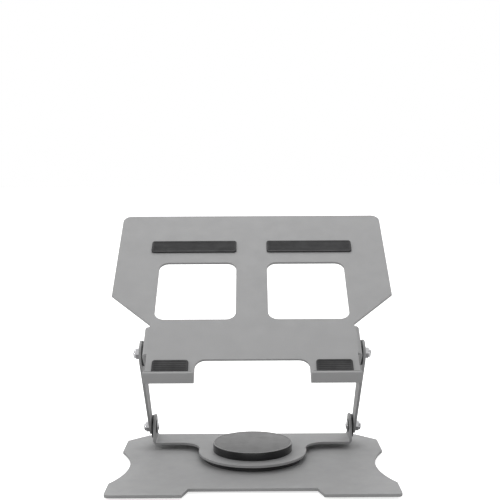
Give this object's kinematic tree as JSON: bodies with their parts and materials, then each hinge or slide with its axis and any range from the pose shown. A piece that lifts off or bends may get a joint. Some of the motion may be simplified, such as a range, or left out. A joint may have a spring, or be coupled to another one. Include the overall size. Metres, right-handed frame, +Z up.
{
  "type": "laptop stand",
  "caption": "Folding sheet-metal laptop stand: swivelling base, friction-hinged twin arms and a tilting vented tray with front lips and rubber pads.",
  "frame": {"origin": "on the desk plane, on the axis that the stand swivels about, at the middle of the centre foot", "axes": "+X to the user's right, +Y away from the user, towards the rear edge of the base, +Z up"},
  "size_m": [0.282, 0.2227, 0.2454],
  "materials": {
    "grey_coat": "matte powder coat on steel sheet, fine grain",
    "hub_black": "satin black moulding",
    "hub_face": "satin black disc, fine grain",
    "rubber": "black silicone rubber",
    "zinc": "zinc plated",
    "black_steel": "black oxide",
    "ball_steel": "polished",
    "black_plastic": "black nylon",
    "chrome": "bright nickel plate"
  },
  "bodies": {
    "base": {"base_plate": "grey_coat", "foot_front_left": "rubber", "foot_front_right": "rubber", "foot_rear_left": "rubber", "foot_rear_right": "rubber", "centre_foot": "rubber", "swivel_stud": "zinc", "race_rivets": "zinc", "lower_race": "black_steel", "dust_ring": "black_plastic", "swivel_washer": "zinc", "swivel_nut": "zinc"},
    "cage": {"ball_cage": "black_plastic", "bearing_balls": "ball_steel"},
    "turntable": {"upper_race": "black_steel", "race_screws": "zinc", "swivel_bracket": "grey_coat", "hub_cover": "hub_black", "hub_inlay": "hub_face", "lower_bolt_left": "chrome", "lower_bolt_right": "chrome", "lower_thin_washer_left": "black_plastic", "lower_thin_washer_right": "black_plastic", "lower_friction_washer_left": "black_plastic", "lower_friction_washer_right": "black_plastic", "lower_nut_left": "chrome", "lower_nut_right": "chrome"},
    "arms": {"left_arm": "grey_coat", "right_arm": "grey_coat"},
    "upper_pivots": {"upper_bolt_left": "chrome", "upper_bolt_right": "chrome", "upper_thin_washer_left": "black_plastic", "upper_thin_washer_right": "black_plastic", "upper_friction_washer_left": "black_plastic", "upper_friction_washer_right": "black_plastic", "upper_nut_left": "chrome", "upper_nut_right": "chrome"},
    "tray": {"tray_plate": "grey_coat", "front_pad_left": "rubber", "front_pad_right": "rubber", "rear_pad_left": "rubber", "rear_pad_right": "rubber", "lip_cushion_left": "rubber", "lip_cushion_right": "rubber"}
  },
  "joints": [
    {"name": "swivel", "type": "hinge", "parent": "base", "child": "turntable", "pos_m": [0, 0, 0.0074], "axis": [0, 0, 1], "continuous": true},
    {"name": "cage_turn", "type": "hinge", "parent": "base", "child": "cage", "pos_m": [0, 0, 0.0074], "axis": [0, 0, 1], "continuous": true},
    {"name": "arm_hinge", "type": "hinge", "parent": "turntable", "child": "arms", "pos_m": [0, 0.0435, 0.0253], "axis": [1, 0, 0], "range_deg": [-41, 46]},
    {"name": "tray_level", "type": "hinge", "parent": "arms", "child": "upper_pivots", "pos_m": [0, -0.03752, 0.11851], "axis": [1, 0, 0], "range_deg": [-46, 41]},
    {"name": "tray_tilt", "type": "hinge", "parent": "upper_pivots", "child": "tray", "pos_m": [0, -0.03752, 0.11851], "axis": [1, 0, 0], "range_deg": [-36, 5]}
  ],
  "couplings": [
    {"joint": "cage_turn", "follows": "swivel", "ratio": 0.5},
    {"joint": "tray_level", "follows": "arm_hinge", "ratio": -1}
  ]
}
